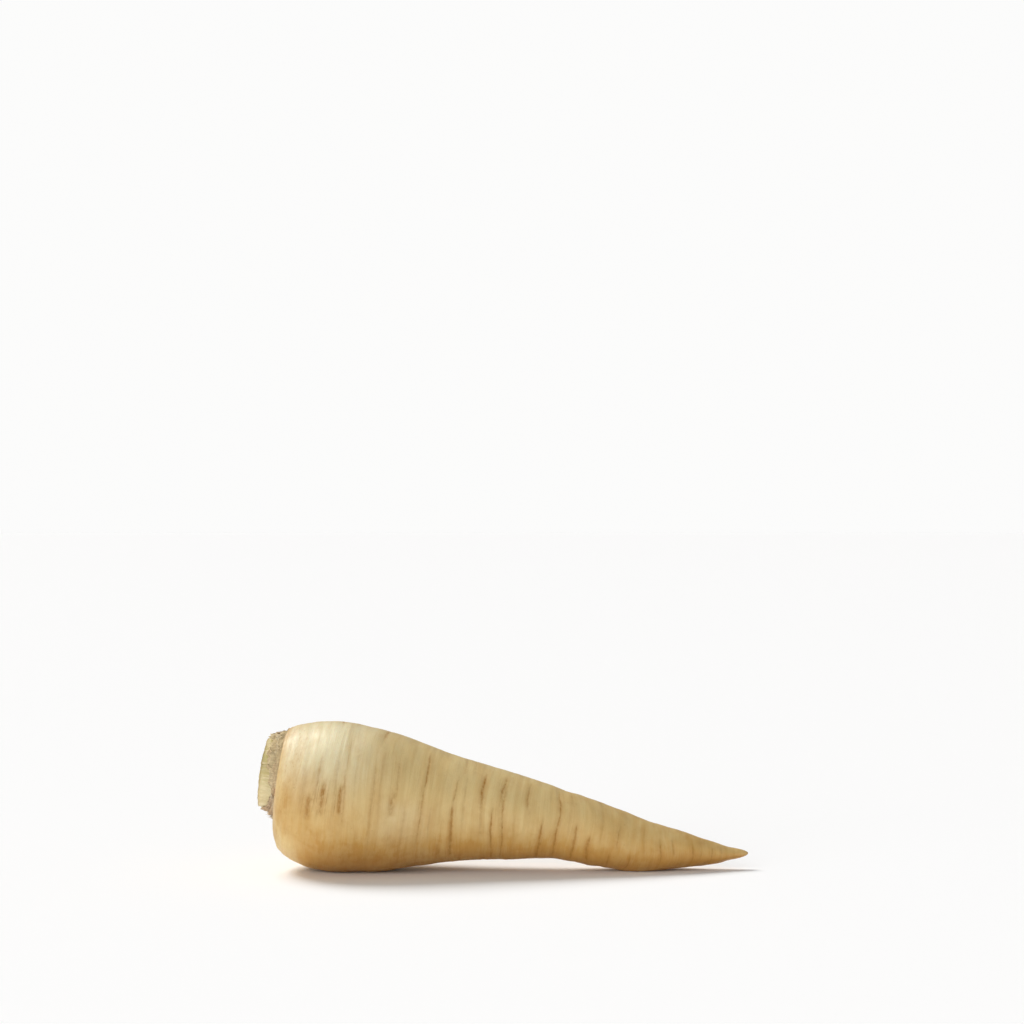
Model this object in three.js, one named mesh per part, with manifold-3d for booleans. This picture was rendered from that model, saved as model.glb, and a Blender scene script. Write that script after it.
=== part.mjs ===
// A trimmed parsnip lying on its side, in millimetres, +Z up. Its crown points towards -X and its tip towards +X.
// The origin is on the surface that it lies on, under the middle of its length.
// It is three bodies: the root, the dry scales round its sunken crown, and the cut leaf stalks inside them.
// All three are laid out in the root's own coordinates: how far along the bent centreline from the crown's
// rim (negative outside it), how far out from that line, and the angle round it in degrees, which is 0 at the
// front (-Y) and 90 on top.
import * as THREE from "three";
import { mergeVertices } from "three/addons/utils/BufferGeometryUtils.js";
import Module from "manifold-3d";

const wasm = await Module();
wasm.setup();

// Driving dimensions.
const ROOT_LENGTH = 178; // from the crown's rim to the tip
const MIDDLE = 84.8; // place along X, from the rim, that becomes the origin
const SHOULDER_REACH = 24; // how far the shoulder takes to round over from the rim to full width
const SHOULDER_CURVE = 2.4; // exponent of the shoulder's superellipse; 2 is an ellipse
const TIP_ROUND = 6; // length over which the broken-off tip rounds to nothing
const RIM_RADIUS = 17.9;
const CROWN_LIFT = 5.1; // how far the crown sits above the middle of the shoulder
const CROWN_DEPTH = 4.6; // floor of the sunken ring that holds the scales
const SOCKET_DEPTH = 7; // floor of the socket that the leaf stalks stand in
const STALK_RADIUS = 13.4;
const STALK_HEIGHT = 7.4; // how far the cut leaf stalks stand out of the rim
const SCALE_THICKNESS = 0.7;
const GAP = 0.35; // clearance between the separate bodies
const ROUND_STEPS = 40; // corners round the root
const SCALE_STEPS = 64; // corners round the ring of scales

// The centreline as [distance along X, side or height], the body's radius along it, and how far its rings lean.
const SIDE = through([[0, 0.9], [38, -0.3], [83, -1.6], [121, -1.1], [151, 0.8], [178, 3.6]]);
const HEIGHT = through([
  [0, 31], [22, 28.1], [32, 27.2], [53, 24.8], [83, 21.2], [106, 17.3], [121, 13.3], [136, 9.4],
  [151, 7.6], [166, 5.9], [178, 5.8],
]);
const GIRTH = through([
  [0, 28.3], [12, 28.4], [22, 28.4], [32, 27.5], [42, 25.8], [53, 22.9], [68, 19.3], [83, 16.7],
  [98, 14.2], [106, 12.8], [121, 11.7], [136, 9.9], [151, 7.3], [159, 5.4], [166, 3.8], [172, 2.3], [178, 1.6],
]);

const LEAN = through([
  [0, 0.6], [30, 0.6], [55, 1], [76, -0.6], [98, -0.8], [112, -2.2], [120, -2.3], [130, -1], [145, 0.4],
  [178, 0.2],
]);

// Growth rings: [along, angle of the deepest part, half the arc in degrees, depth].
const RINGS = [
  [15.6, 18, 26, 0.4], [18.6, 2, 20, 0.5], [24.8, 4, 22, 0.5], [36.2, 8, 36, 0.4], [43.3, 10, 24, 0.5],
  [54.9, 26, 50, 0.5], [66.6, -14, 50, 0.6], [76.9, 30, 34, 0.6], [81, -36, 42, 0.5], [84.9, 0, 66, 0.45],
  [93, 44, 28, 0.5], [99, -38, 42, 0.6], [104.6, 0, 72, 0.5], [111.4, -22, 38, 0.55], [116.6, -28, 30, 0.6],
  [124.6, -46, 26, 0.4], [131.8, -46, 28, 0.4], [142.8, -8, 36, 0.4], [147.6, 12, 28, 0.3],
  [155.4, -10, 40, 0.3], [163.2, -6, 44, 0.25],
];
const RING_WIDTH = 0.75; // half the width of a ring's groove

// Rings of cut leaf stalks that clasp one another, from the outside in: [thickness at the middle of a stalk,
// thickness at its edges, stalks in the ring, angle that the first one faces].
const STALK_RINGS = [
  [3.6, 1.1, 3, 80],
  [3.6, 1.1, 3, 20],
  [3, 1, 2, 110],
  [3, 1, 2, 20],
];
const STALK_SEAM = 0.4; // width of the seam between two stalks
const SEAM_DEPTH = 1.3; // how far it is open below the cut
const CUT_DOME = 0.55; // how far the middle of the cut stands out past its edge
const HEART_RADIUS = 3;

// Layers of dry scales, from the stalks outwards: [radius, height above the rim, ragged part of it, tips round it].
const SCALE_LAYERS = [
  [14.4, 5, 2.2, 11],
  [15.5, 3.4, 1.8, 13],
  [16.5, 1.6, 1.2, 17],
];

// A smooth curve through [x, y] knots: cubic pieces whose slope at a knot is the slope between its neighbours.
// Past either end it runs straight on.
function through(knots) {
  const last = knots.length - 1;
  const slope = (i) => {
    const [x0, y0] = knots[Math.max(i - 1, 0)];
    const [x1, y1] = knots[Math.min(i + 1, last)];
    return (y1 - y0) / (x1 - x0);
  };
  return (x) => {
    const end = x <= knots[0][0] ? 0 : x >= knots[last][0] ? last : -1;
    if (end >= 0) return knots[end][1] + slope(end) * (x - knots[end][0]);
    const i = knots.findIndex(([at]) => at > x) - 1;
    const [x0, y0] = knots[i];
    const [x1, y1] = knots[i + 1];
    const span = x1 - x0;
    const t = (x - x0) / span;
    const s = 1 - t;
    const values = y0 * (1 + 2 * t) * s * s + y1 * (3 - 2 * t) * t * t;
    const slopes = slope(i) * t * s * s - slope(i + 1) * s * t * t;
    return values + slopes * span;
  };
}

const radians = THREE.MathUtils.degToRad;
const smooth = THREE.MathUtils.smoothstep;

// The shorter way round from one angle to another, in degrees, without its sign.
function turn(from, to) {
  return Math.abs(THREE.MathUtils.euclideanModulo(from - to + 180, 360) - 180);
}

// How strongly an arc that faces one angle, with a half width of reach, is felt at another: from 1 down to 0.
function arc(angle, facing, reach) {
  return Math.exp(-((turn(angle, facing) / reach) ** 4));
}

function centre(along) {
  return new THREE.Vector3(along - MIDDLE, SIDE(along), HEIGHT(along));
}

// The point at a distance along the centreline, a radius out from it and an angle round it. The crown's parts are
// all lifted by the same height above the centreline, and the skin's sections by less and less away from the rim.
function place(along, radius, angle, lift = CROWN_LIFT) {
  const ahead = centre(along + 0.5).sub(centre(along - 0.5)).normalize();
  const up = new THREE.Vector3(0, 0, 1).addScaledVector(ahead, -ahead.z).normalize();
  const front = new THREE.Vector3().crossVectors(ahead, up);
  return centre(along)
    .addScaledVector(front, radius * Math.cos(radians(angle)))
    .addScaledVector(up, radius * Math.sin(radians(angle)) + lift);
}

// How far the growth rings lean and wave along the root at an angle round it. It dies out at both ends.
function lean(along, angle) {
  const free = smooth(along, 3, 16) * (1 - smooth(along, 160, 176));
  const a = radians(angle);
  const waves = 0.5 * Math.sin(2 * a + along / 17) + 0.3 * Math.sin(3 * a - along / 9);
  return free * (LEAN(along) * Math.sin(a) + waves);
}

// How far the shoulder has still to widen: 1 at the rim and 0 where it is full.
function narrowing(along) {
  const over = THREE.MathUtils.clamp(1 - along / SHOULDER_REACH, 0, 1);
  return 1 - (1 - over ** SHOULDER_CURVE) ** (1 / SHOULDER_CURVE);
}

// The root's radius before its rings: the girth, rounded over at the shoulder and the tip, and not quite round.
function bodyRadius(along, angle) {
  const shoulder = GIRTH(along) - (GIRTH(0) - RIM_RADIUS) * narrowing(along);
  const past = Math.max(along - (ROOT_LENGTH - TIP_ROUND), 0) / TIP_ROUND;
  const a = radians(angle);
  const oval = 0.016 * Math.cos(2 * a + along / 40 + 0.6);
  const lobes = 0.012 * Math.cos(3 * a - along / 28) + 0.006 * Math.cos(5 * a + along / 19);
  return shoulder * Math.sqrt(1 - past * past) * (1 + (oval + lobes) * smooth(along, 0, 10));
}

// How deep the growth rings cut at a place on the skin. Each ring has one arc in front and a fainter one behind.
function ringDepth(along, angle) {
  const thin = Math.min(1, GIRTH(along) / 12);
  let deep = 0;
  RINGS.forEach(([at, facing, reach, depth], k) => {
    const across = Math.exp(-(((along - at) / RING_WIDTH) ** 2));
    const behind = arc(angle, 180 + 50 * Math.sin(2.4 * k), 45 + 22 * Math.sin(1.7 * k + 1));
    const round = Math.min(arc(angle, facing, reach) + 0.8 * behind + 0.15, 1);
    deep += depth * thin * across * round;
  });
  return deep;
}

function skinPoint(station, angle) {
  const along = station + lean(station, angle);
  const lift = CROWN_LIFT * narrowing(along) ** 2.5;
  return place(along, bodyRadius(along, angle) - ringDepth(station, angle), angle, lift);
}

// A closed mesh skinned over loops of points. The loops are capped at both ends, or the last one meets the first.
function skin(loops, joined = false) {
  const count = loops[0].length;
  const points = loops.flat();
  const faces = [];
  const rows = joined ? loops.length : loops.length - 1;
  for (let i = 0; i < rows; i++) {
    const here = i * count;
    const there = ((i + 1) % loops.length) * count;
    for (let j = 0; j < count; j++) {
      const next = (j + 1) % count;
      faces.push(here + j, there + j, here + next);
      faces.push(here + next, there + j, there + next);
    }
  }
  const cap = (start, flip) => {
    const middle = points.length;
    const corners = points.slice(start, start + count);
    points.push(corners.reduce((sum, p) => sum.add(p), new THREE.Vector3()).divideScalar(count));
    for (let j = 0; j < count; j++) {
      const next = start + ((j + 1) % count);
      faces.push(middle, ...(flip ? [next, start + j] : [start + j, next]));
    }
  };
  if (!joined) {
    cap(0, false);
    cap((loops.length - 1) * count, true);
  }
  return new THREE.BufferGeometry().setFromPoints(points).setIndex(faces);
}

function toSolid(geometry) {
  const merged = mergeVertices(geometry, 1e-4);
  const mesh = new wasm.Mesh({
    numProp: 3,
    vertProperties: merged.attributes.position.array,
    triVerts: new Uint32Array(merged.index.array),
  });
  return new wasm.Manifold(mesh);
}

function toGeometry(solid) {
  const { numProp, vertProperties, triVerts } = solid.getMesh();
  const corners = [];
  for (let i = 0; i < vertProperties.length; i += numProp) {
    corners.push(new THREE.Vector3(...vertProperties.subarray(i, i + 3)));
  }
  return new THREE.BufferGeometry().setFromPoints(corners).setIndex([...triVerts]);
}

function anglesRound(steps) {
  return Array.from({ length: steps }, (_, i) => (i * 360) / steps);
}

// Places along the root where its skin has a row of corners: three to a ring, and others wherever there is room.
function skinStations() {
  const widest = 4.5;
  const shoulder = [0, 0.5, 1.6, 3.2, 5.4, 8.2, 11.4];
  const rings = RINGS.flatMap(([at]) => [at - RING_WIDTH, at, at + RING_WIDTH]);
  const tip = [9, 6, 3.5, 1.8, 0.7, 0.15].map((back) => ROOT_LENGTH - back);
  const fixed = [...shoulder, ...rings, ...tip];
  return fixed.flatMap((at, i) => {
    const room = (fixed[i + 1] ?? at) - at;
    const extra = Math.max(Math.ceil(room / widest) - 1, 0);
    return [at, ...Array.from({ length: extra }, (_, n) => at + (room * (n + 1)) / (extra + 1))];
  });
}

// The root: a bent, tapering body with a sunken crown, and two small flats worn where it lies on a surface.
function makeRoot() {
  const angles = anglesRound(ROUND_STEPS);
  const crown = [
    [SOCKET_DEPTH, STALK_RADIUS - 5],
    [SOCKET_DEPTH, STALK_RADIUS + GAP],
    [CROWN_DEPTH, STALK_RADIUS + GAP],
    [CROWN_DEPTH, RIM_RADIUS - 1.7],
    [3, RIM_RADIUS - 1.2],
    [1.3, RIM_RADIUS - 0.9],
    [0.3, RIM_RADIUS - 0.5],
  ].map(([along, radius]) => angles.map((angle) => place(along, radius, angle)));
  const body = skinStations().map((station) => angles.map((angle) => skinPoint(station, angle)));
  const below = new THREE.BoxGeometry(2 * ROOT_LENGTH, 2 * ROOT_LENGTH, 20).translate(0, 0, -10);
  below.deleteAttribute("normal");
  below.deleteAttribute("uv");
  return toGeometry(toSolid(skin([...crown, ...body])).subtract(toSolid(below)));
}

// The share of their full height that the dry scales reach: all of it above and below, and less at the sides.
function scaleShare(angle) {
  return 0.45 + 0.65 * arc(angle, 84, 74) + 0.65 * arc(angle, -92, 36);
}

// The dry scales: one ring of matter whose top is raised into thin ragged layers round the leaf stalks.
function makeScales() {
  const inner = STALK_RADIUS + GAP + 0.1;
  const half = SCALE_THICKNESS / 2;
  const loops = anglesRound(SCALE_STEPS).map((angle) => {
    const a = radians(angle);
    const layers = SCALE_LAYERS.flatMap(([radius, height, ragged, tips], k) => {
      const tip = Math.abs(Math.sin((tips * a) / 2 + 1.3 * k)) ** 0.8 * (0.75 + 0.25 * Math.sin(3 * a + 2 * k));
      const top = -scaleShare(angle) * (height + ragged * (tip - 0.5));
      const valley = 0.5 * k - 0.6;
      return [[valley, radius - half - 0.25], [top, radius - half + 0.1], [top + 0.15, radius + half]];
    });
    const profile = [
      [CROWN_DEPTH - GAP, RIM_RADIUS - 1.7 - GAP],
      [3, RIM_RADIUS - 1.2 - GAP],
      [0.5, RIM_RADIUS - 1.25],
      ...layers.slice(1).reverse(),
      [0, inner],
      [CROWN_DEPTH - GAP, inner],
    ];
    return profile.map(([along, radius]) => place(along, radius, angle));
  });
  return skin(loops, true);
}

// How thick the stalks of a ring are at an angle: from the edges' thickness to the middle's by a squared cosine.
function stalkThickness(angle, [middle, edge, count, facing]) {
  return edge + (middle - edge) * Math.cos((count * radians(angle - facing)) / 2) ** 2;
}

// One leaf-stalk base: a crescent that clasps the rings inside it and ends in the knife cut, a low dome over the
// whole crown that is dished a little in each stalk.
function stalkBase(ring, facing) {
  const outer = STALK_RINGS.slice(0, ring);
  const halfSeam = THREE.MathUtils.radToDeg(STALK_SEAM / 2 / (STALK_RADIUS - 3.4 * ring));
  const reach = 180 / STALK_RINGS[ring][2] - halfSeam;
  const steps = 2 * Math.round(reach / 10);
  const cut = (out) => 0.25 - STALK_HEIGHT - CUT_DOME * (1 - (out / STALK_RADIUS) ** 2);
  const loops = Array.from({ length: steps + 1 }, (_, i) => {
    const angle = facing + reach * ((2 * i) / steps - 1);
    const outside = STALK_RADIUS - outer.reduce((sum, one) => sum + stalkThickness(angle, one) + STALK_SEAM, 0);
    const inside = outside - stalkThickness(angle, STALK_RINGS[ring]);
    const middle = (outside + inside) / 2;
    const profile = [
      [2, outside - 0.15],
      [cut(outside) + 0.3, outside],
      [cut(outside), outside - 0.3],
      [cut(middle) + 0.2, middle],
      [cut(inside), inside + 0.3],
      [cut(inside) + 0.3, inside],
      [2, inside],
    ];
    return profile.map(([along, out]) => place(along, out, angle));
  });
  return toSolid(skin(loops));
}

// A round plug that reaches from a depth up to a top, and is a little narrower there.
function plug(depth, top, radius, narrower) {
  const loops = [[top, radius - narrower], [depth, radius]].map(([along, out]) =>
    anglesRound(24).map((angle) => place(along, out, angle)),
  );
  return toSolid(skin(loops));
}

// The cut leaf stalks: rings of them round a heart, grown together below their seams.
function makeStalks() {
  const foot = plug(SOCKET_DEPTH - GAP, -1.2, STALK_RADIUS, 0.2);
  const core = plug(0, SEAM_DEPTH - STALK_HEIGHT, STALK_RADIUS - 1, 0.1);
  const heart = plug(1, -STALK_HEIGHT, HEART_RADIUS, 0.5);
  const bases = STALK_RINGS.flatMap(([, , count, facing], ring) =>
    Array.from({ length: count }, (_, i) => stalkBase(ring, facing + (360 * i) / count)),
  );
  return toGeometry(bases.reduce((joined, base) => joined.add(base), foot.add(core).add(heart)));
}

function piece(name, geometry, color, roughness) {
  const mesh = new THREE.Mesh(geometry, new THREE.MeshStandardMaterial({ color, roughness, metalness: 0 }));
  mesh.name = name;
  return mesh;
}

const parsnip = new THREE.Group();
parsnip.add(
  piece("root", makeRoot(), 0xd9bf86, 0.55),
  piece("crown_scales", makeScales(), 0x8a6647, 0.9),
  piece("leaf_stalks", makeStalks(), 0xa8a05a, 0.6),
);

export default parsnip;
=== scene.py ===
import bmesh
import bpy
import numpy as np
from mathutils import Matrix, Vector


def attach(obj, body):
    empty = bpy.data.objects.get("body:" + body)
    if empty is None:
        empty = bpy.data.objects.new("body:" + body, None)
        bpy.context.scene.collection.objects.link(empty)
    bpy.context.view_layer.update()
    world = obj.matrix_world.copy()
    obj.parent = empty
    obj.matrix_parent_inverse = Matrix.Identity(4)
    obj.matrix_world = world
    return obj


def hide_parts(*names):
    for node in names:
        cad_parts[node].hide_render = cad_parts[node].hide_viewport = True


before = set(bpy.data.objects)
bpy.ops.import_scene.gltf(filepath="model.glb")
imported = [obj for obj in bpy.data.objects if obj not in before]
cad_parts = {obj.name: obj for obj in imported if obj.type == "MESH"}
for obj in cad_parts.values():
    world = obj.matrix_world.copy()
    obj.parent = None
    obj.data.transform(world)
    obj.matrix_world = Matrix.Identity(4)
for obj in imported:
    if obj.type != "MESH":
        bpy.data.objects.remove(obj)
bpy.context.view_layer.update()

# ---------------------------------------------------------------- the root
# A parsnip's swollen taproot, grown in one piece under a thin cream skin: a broad shoulder, a long bent
# taper and a blunt tip, crossed by the short brown lines of growth rings and root scars. Round the trimmed
# crown the shoulder rolls over into a shallow ring-shaped hollow.

# It is laid out in its own coordinates: millimetres along its bent middle line from the crown's rim,
# millimetres out from that line, and the angle round it, which is 0 at the front and a quarter turn on
# top.
MM = 0.001
ROOT_LENGTH = 178.0
MIDDLE = 84.8  # along the root, the place that stands over the origin
SHOULDER_REACH = 24.0
SHOULDER_CURVE = 2.4
TIP_ROUND = 6.0
RIM_RADIUS = 17.9
CROWN_LIFT = 5.1
CROWN_DEPTH = 4.6
SOCKET_DEPTH = 7.0
STALK_RADIUS = 13.4
GAP = 0.35
ROOT_ROWS = 312
ROOT_COLUMNS = 288


def through(knots):
    """A smooth curve through (x, y) knots: on each span a cubic whose slope at a knot is the slope between
    the knot's two neighbours. Past either end it runs straight on."""
    x, y = np.array(knots, float).T
    wide_x = np.concatenate([x[:1], x, x[-1:]])
    wide_y = np.concatenate([y[:1], y, y[-1:]])
    slope = (wide_y[2:] - wide_y[:-2]) / (wide_x[2:] - wide_x[:-2])

    def curve(at):
        i = np.clip(np.searchsorted(x, at, side="right") - 1, 0, len(x) - 2)
        span = x[i + 1] - x[i]
        t = np.clip((at - x[i]) / span, 0, 1)
        s = 1 - t
        values = y[i] * (1 + 2 * t) * s * s + y[i + 1] * (3 - 2 * t) * t * t
        slopes = span * (slope[i] * t * s * s - slope[i + 1] * s * t * t)
        past = slope[0] * np.minimum(at - x[0], 0) + slope[-1] * np.maximum(at - x[-1], 0)
        return values + slopes + past

    return curve


# Along the root: the middle line's bend to the side and its height, the girth, and the lean of growth
# rings.
SIDE = through([[0, 0.9], [38, -0.3], [83, -1.6], [121, -1.1], [151, 0.8], [178, 3.6]])
HEIGHT = through([
    [0, 31], [22, 28.1], [32, 27.2], [53, 24.8], [83, 21.2], [106, 17.3], [121, 13.3], [136, 9.4],
    [151, 7.6], [166, 5.9], [178, 5.8],
])
GIRTH = through([
    [0, 28.3], [12, 28.4], [22, 28.4], [32, 27.5], [42, 25.8], [53, 22.9], [68, 19.3], [83, 16.7],
    [98, 14.2], [106, 12.8], [121, 11.7], [136, 9.9], [151, 7.3], [159, 5.4], [166, 3.8], [172, 2.3],
    [178, 1.6],
])
LEAN = through([
    [0, 0.6], [30, 0.6], [55, 1], [76, -0.6], [98, -0.8], [112, -2.2], [120, -2.3], [130, -1],
    [145, 0.4], [178, 0.2],
])


def smooth(x, low, high):
    """0 up to low, 1 from high on, and a curve with level ends between: 3t^2 - 2t^3."""
    t = np.clip((x - low) / (high - low), 0, 1)
    return t * t * (3 - 2 * t)


def between(x, rise, fall):
    """A smooth step up over the span of rise, and down again over the span of fall."""
    return smooth(x, *rise) * (1 - smooth(x, *fall))


def centre(along):
    """The root's middle line: along X, with its bend to the side and its height read from their curves."""
    return np.stack([along - MIDDLE, SIDE(along), HEIGHT(along)], -1)


def place(along, radius, angle, lift=CROWN_LIFT):
    """The point at a distance along the middle line, a radius out from it and an angle round it, in a
    section square to the line and raised by lift."""
    given = (np.asarray(value, float) for value in (along, radius, angle, lift))
    along, radius, angle, lift = np.broadcast_arrays(*given)
    ahead = centre(along + 0.5) - centre(along - 0.5)
    ahead /= np.linalg.norm(ahead, axis=-1, keepdims=True)
    up = np.array([0.0, 0.0, 1.0]) - ahead * ahead[..., 2:]
    up /= np.linalg.norm(up, axis=-1, keepdims=True)
    front = np.cross(ahead, up)
    across = front * (radius * np.cos(angle))[..., None]
    return centre(along) + across + up * (radius * np.sin(angle) + lift)[..., None]


def narrowing(along):
    """How far the shoulder has still to widen: 1 at the rim, 0 where it is full, along a superellipse."""
    over = np.clip(1 - along / SHOULDER_REACH, 0, 1)
    return 1 - (1 - over**SHOULDER_CURVE) ** (1 / SHOULDER_CURVE)


def lean(along, angle):
    """How far the growth rings lean and wave along the root: the lean there times a sine of the angle, and
    smaller sines of twice and three times the angle, all fading at both ends."""
    leaning = LEAN(along) * np.sin(angle)
    waving = 0.5 * np.sin(2 * angle + along / 17)
    trembling = 0.3 * np.sin(3 * angle - along / 9)
    return between(along, (3, 16), (160, 176)) * (leaning + waving + trembling)


def body_radius(along, angle):
    """The girth, rounded over at the shoulder and the tip, and swelled or pinched by low waves round
    it."""
    shoulder = GIRTH(along) - (GIRTH(0.0) - RIM_RADIUS) * narrowing(along)
    past = np.clip((along - (ROOT_LENGTH - TIP_ROUND)) / TIP_ROUND, 0, 1)
    oval = 0.016 * np.cos(2 * angle + along / 40 + 0.6)
    lobes = 0.012 * np.cos(3 * angle - along / 28) + 0.006 * np.cos(5 * angle + along / 19)
    return shoulder * np.sqrt(1 - past * past) * (1 + (oval + lobes) * smooth(along, 0, 10))


def arc(angle, facing, reach):
    """How strongly an arc is felt at an angle: exp(-x^4) of how far it lies from the way the arc faces, in
    half widths of the arc. Both of these are in degrees."""
    off = np.abs((angle - np.radians(facing) + np.pi) % (2 * np.pi) - np.pi)
    return np.exp(-((off / np.radians(reach)) ** 4))


def ripple(along, angle, seed, count, around, length, height):
    """Low relief that closes round the root: a sum of sine waves, each with a whole number of crests round
    it between the two in around, and a wavelength along it between the two in length."""
    dice = np.random.default_rng(seed)
    total = np.zeros(np.broadcast(along, angle).shape)
    for _ in range(count):
        crests = dice.integers(around[0], around[1] + 1) * dice.choice([-1, 1])
        wavelength = dice.uniform(*length)
        total += np.sin(crests * angle + 2 * np.pi * along / wavelength + dice.uniform(0, 2 * np.pi))
    return height * total / np.sqrt(count)


# Growth rings and root scars that cross the front: along the root, angle faced and half the arc in
# degrees, then the width of the brown line, how dark it is, and the depth of its groove.
FRONT_MARKS = np.array([
    [11.0, 8, 18, 1.4, 0.22, 0.02], [13.6, -4, 10, 1.5, 0.55, 0.03], [15.6, 16, 22, 0.8, 0.4, 0.05],
    [17.4, 2, 14, 0.42, 0.38, 0.05], [18.6, 4, 12, 1.1, 0.74, 0.08], [22.4, 10, 30, 0.8, 0.26, 0.04],
    [24.8, 4, 11, 1.2, 0.68, 0.08], [26.0, 6, 22, 0.75, 0.38, 0.04], [29.8, 24, 40, 0.75, 0.19, 0.02],
    [36.2, 8, 34, 0.51, 0.34, 0.05], [38.8, 20, 36, 0.75, 0.21, 0.02], [43.3, 6, 11, 1.7, 0.46, 0.07],
    [44.6, 24, 22, 0.75, 0.3, 0.04], [48.5, -24, 34, 0.75, 0.24, 0.03], [54.9, 44, 24, 0.59, 0.48, 0.08],
    [54.7, -4, 34, 0.6, 0.42, 0.05], [58.6, -12, 20, 0.75, 0.26, 0.03], [62.0, -46, 14, 1.2, 0.4, 0.02],
    [66.6, -22, 36, 0.9, 0.77, 0.12], [66.8, 24, 20, 0.5, 0.4, 0.05], [70.6, 10, 44, 0.75, 0.19, 0.02],
    [76.9, 34, 24, 0.8, 0.72, 0.1], [77.4, -2, 24, 0.75, 0.26, 0.04], [81.0, -30, 44, 0.64, 0.62, 0.1],
    [84.0, 42, 24, 0.85, 0.54, 0.06], [84.9, -14, 58, 0.55, 0.54, 0.07], [89.2, -14, 40, 0.7, 0.17, 0.02],
    [93.0, 44, 22, 0.51, 0.54, 0.08], [93.6, 12, 18, 0.75, 0.21, 0.02], [99.0, -34, 40, 0.6, 0.8, 0.11],
    [98.6, -58, 14, 0.8, 0.6, 0.06], [104.6, 0, 72, 0.6, 0.66, 0.09], [108.6, 16, 40, 0.7, 0.19, 0.02],
    [111.4, -22, 36, 0.7, 0.72, 0.09], [116.6, -28, 26, 0.8, 0.9, 0.11], [120.6, 24, 34, 0.7, 0.21, 0.03],
    [124.6, -46, 22, 0.68, 0.5, 0.08], [126.8, 12, 26, 0.42, 0.45, 0.05], [131.8, -46, 26, 0.42, 0.59, 0.08],
    [136.4, 20, 34, 0.7, 0.21, 0.02], [139.8, -50, 30, 1.1, 0.35, 0.02], [142.8, -8, 34, 0.47, 0.59, 0.06],
    [147.6, 12, 24, 0.68, 0.38, 0.04], [151.4, -30, 30, 0.75, 0.26, 0.02], [155.4, -10, 40, 0.51, 0.5, 0.04],
    [158.6, 10, 44, 0.9, 0.25, 0.02], [163.2, -6, 44, 0.42, 0.45, 0.04], [167.0, 10, 50, 0.75, 0.26, 0.02],
])

def scattered_marks(count, seed):
    """Marks for the sides that face up, down and back, and faint short ones all over: along the root they
    are drawn evenly, and round it so that few fall among those on the front."""
    dice = np.random.default_rng(seed)
    at = dice.uniform(9, 170, count)
    facing = np.where(dice.random(count) < 0.85, dice.uniform(80, 290, count), dice.uniform(-60, 75, count))
    strong = dice.random(count) ** 2 * np.where(facing > 75, 1.0, 0.2)
    reach = dice.uniform(12, 24, count) + 36 * strong
    return np.stack([at, facing, reach, 0.35 + 0.5 * strong, 0.15 + 0.5 * strong, 0.03 + 0.07 * strong], -1)


MARKS = np.concatenate([FRONT_MARKS, scattered_marks(count=96, seed=4)])

# A line wanders by three sines of the angle, each with its height, its waves round the root and the shift
# that sets one line apart from the next. A groove and a stain reach beyond half the line's width.
WANDER = [(0.2, 5, 9), (0.06, 17, 5), (0.03, 41, 1)]
GROOVE_REACH = 0.35
STAIN_REACH = 0.9
LIP_DISTANCE = 1.5
LIP_WIDTH = 0.7
LIP_HEIGHT = 0.08  # for a groove 1 deep
THICK_ROOT = 12.0  # marks wander less and are shallower where the girth is less


def read_marks(along, angle):
    """For each point of the skin: the depth of all grooves there; how far it is along the root from the
    mark felt most strongly, counted in widths of that mark's line; the strength of that mark; and how
    stained the skin is round all of them. A groove is a Gaussian across, with a low lip each side."""
    thin = np.minimum(1, GIRTH(along) / THICK_ROOT)
    deep, strength, stain, felt = (np.zeros_like(along) for _ in range(4))
    offset = np.full_like(along, 9.0)
    for at, facing, reach, width, dark, depth in MARKS:
        wander = sum(size * np.sin(waves * angle + shift * at) for size, waves, shift in WANDER)
        off = along - at - thin * wander
        here = arc(angle, facing, reach)
        groove = np.exp(-((off / (GROOVE_REACH + 0.5 * width)) ** 2))
        lips = LIP_HEIGHT * np.exp(-(((np.abs(off) - LIP_DISTANCE - 0.5 * width) / LIP_WIDTH) ** 2))
        deep += depth * thin * here * (groove - lips)
        stain = np.maximum(stain, here * dark * np.exp(-((off / (STAIN_REACH + 0.5 * width)) ** 2)))
        feel = here * dark * np.exp(-((off / width) ** 2))
        closer = feel > felt
        felt = np.where(closer, feel, felt)
        offset = np.where(closer, off / width, offset)
        strength = np.where(closer, here * dark * (1 - smooth(np.abs(off) / width, 1.2, 2.2)), strength)
    return deep, offset, strength, stain


def make_object(name, corners, quads, shells=1, layers=None):
    """One object from shells of corners (shell, row, column, xyz in millimetres) that share the same
    quads, each given as corner numbers within a shell. Layers are more numbers for each corner, kept as
    attributes. A closed shell's volume is a sum of a . (b x c) over its triangles, and one that comes out
    negative is turned round."""
    points = corners.reshape(-1, 3) * MM
    count = len(points) // shells
    faces = quads[None] + (np.arange(shells) * count)[:, None, None]
    a, b, c, d = np.moveaxis(points[faces], -2, 0)
    inward = (a * np.cross(b, c) + a * np.cross(c, d)).sum((-1, -2)) < 0
    faces[inward] = faces[inward][..., ::-1]
    faces = faces.reshape(-1, 4)
    mesh = bpy.data.meshes.new(name)
    mesh.from_pydata(points, [], faces.tolist())
    for title, values in (layers or {}).items():
        layer = mesh.attributes.new(title, "FLOAT_VECTOR", "POINT")
        layer.data.foreach_set("vector", np.ascontiguousarray(values, np.float32).ravel())
    mesh.polygons.foreach_set("use_smooth", np.ones(len(faces), bool))
    mesh.update()
    piece = bpy.data.objects.new(name, mesh)
    bpy.context.scene.collection.objects.link(piece)
    return piece


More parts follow.
